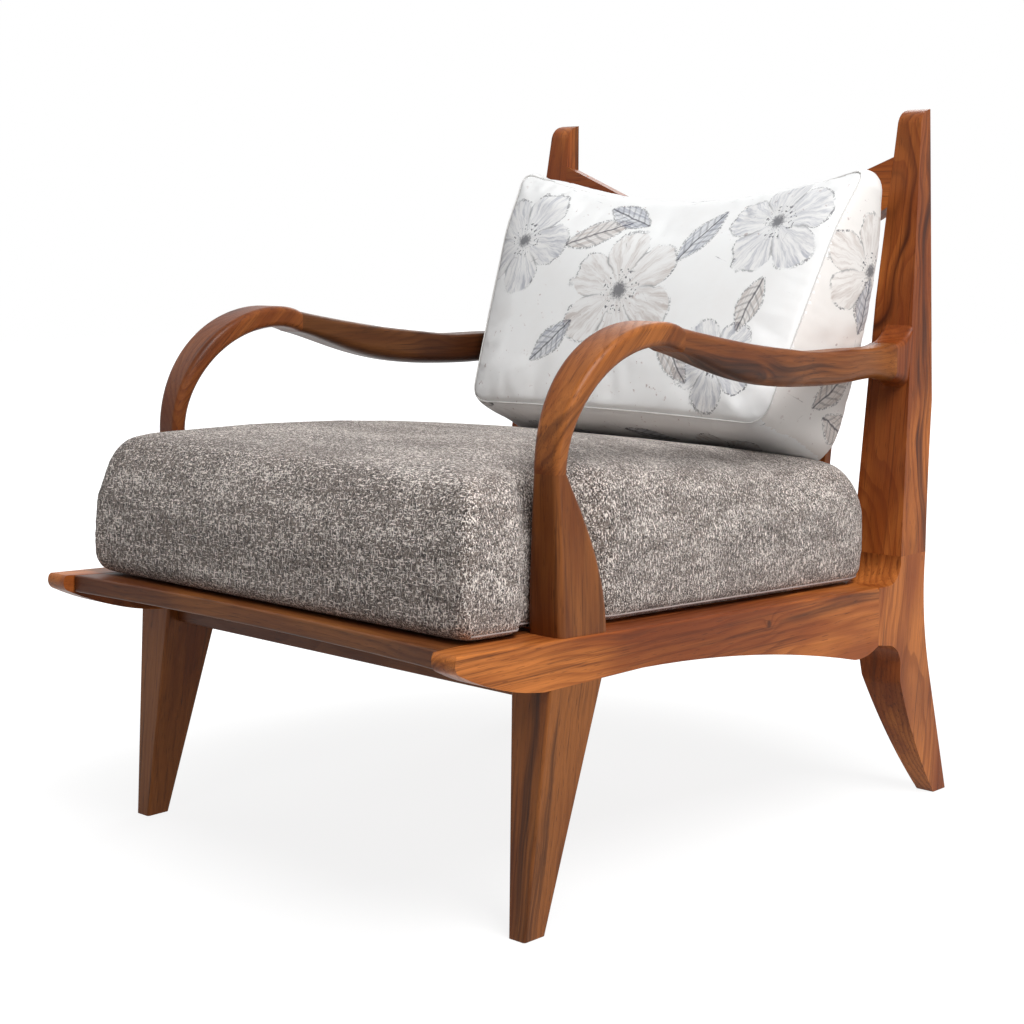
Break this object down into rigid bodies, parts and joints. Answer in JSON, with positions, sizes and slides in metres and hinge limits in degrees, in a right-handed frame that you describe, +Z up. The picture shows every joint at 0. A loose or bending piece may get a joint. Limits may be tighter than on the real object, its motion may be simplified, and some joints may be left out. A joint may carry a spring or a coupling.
{
  "type": "lounge chair",
  "caption": "Low lounge chair with a solid wood frame, arched arms, slatted seat and back, and loose seat and back cushions.",
  "frame": {"origin": "on the floor, under the middle of the chair's bounding box", "axes": "+Z up, the chair faces -Y, +X to the right as seen from the front"},
  "size_m": [0.652, 0.8535, 0.83],
  "materials": {
    "oiled_hardwood": "satin varnish",
    "slat_wood": "matte",
    "dowel_beech": "matte",
    "seat_tweed": "woven, flecked",
    "back_print": "printed, smooth",
    "foam": "matte",
    "zip_tape": "matte",
    "zinc_steel": "zinc plated"
  },
  "bodies": {
    "frame": {"arm_arch_left": "oiled_hardwood", "arm_arch_right": "oiled_hardwood", "arm_end_dowels": "dowel_beech", "arm_post_dowels": "dowel_beech", "arm_post_left": "oiled_hardwood", "arm_post_right": "oiled_hardwood", "arm_rest_left": "oiled_hardwood", "arm_rest_right": "oiled_hardwood", "arm_seam_dowels": "dowel_beech", "arm_waist_dowels": "dowel_beech", "back_post_left": "oiled_hardwood", "back_post_right": "oiled_hardwood", "back_slat_1": "slat_wood", "back_slat_2": "slat_wood", "back_slat_3": "slat_wood", "back_slat_4": "slat_wood", "back_slat_5": "slat_wood", "crest_dowels": "dowel_beech", "crest_rail": "oiled_hardwood", "front_apron": "oiled_hardwood", "front_board": "oiled_hardwood", "front_leg_dowels": "dowel_beech", "front_leg_left": "oiled_hardwood", "front_leg_right": "oiled_hardwood", "ledger_screws_left": "zinc_steel", "ledger_screws_right": "zinc_steel", "lower_back_rail": "slat_wood", "lower_rail_dowels": "dowel_beech", "post_to_leg_dowels": "dowel_beech", "rail_to_rear_leg_dowels": "dowel_beech", "rear_leg_left": "oiled_hardwood", "rear_leg_right": "oiled_hardwood", "rear_rail_dowels": "dowel_beech", "rear_seat_rail": "slat_wood", "seat_ledger_left": "slat_wood", "seat_ledger_right": "slat_wood", "seat_slat_1": "slat_wood", "seat_slat_2": "slat_wood", "seat_slat_3": "slat_wood", "seat_slat_4": "slat_wood", "seat_slat_5": "slat_wood", "seat_slat_screws": "zinc_steel", "side_rail_left": "oiled_hardwood", "side_rail_right": "oiled_hardwood"},
    "seat_cushion": {"seat_cushion_core": "foam", "seat_cushion_cover": "seat_tweed", "seat_cushion_zip": "zip_tape"},
    "back_cushion": {"back_cushion_core": "foam", "back_cushion_cover": "back_print", "back_cushion_zip": "zip_tape"}
  },
  "joints": [
    {"name": "seat_cushion_lift", "type": "slide", "parent": "frame", "child": "seat_cushion", "axis": [0, 0, 1], "range_m": [0, 0.05]},
    {"name": "back_cushion_lift", "type": "slide", "parent": "seat_cushion", "child": "back_cushion", "axis": [0, 0.1444, 0.9895], "range_m": [0, 0.12]}
  ]
}
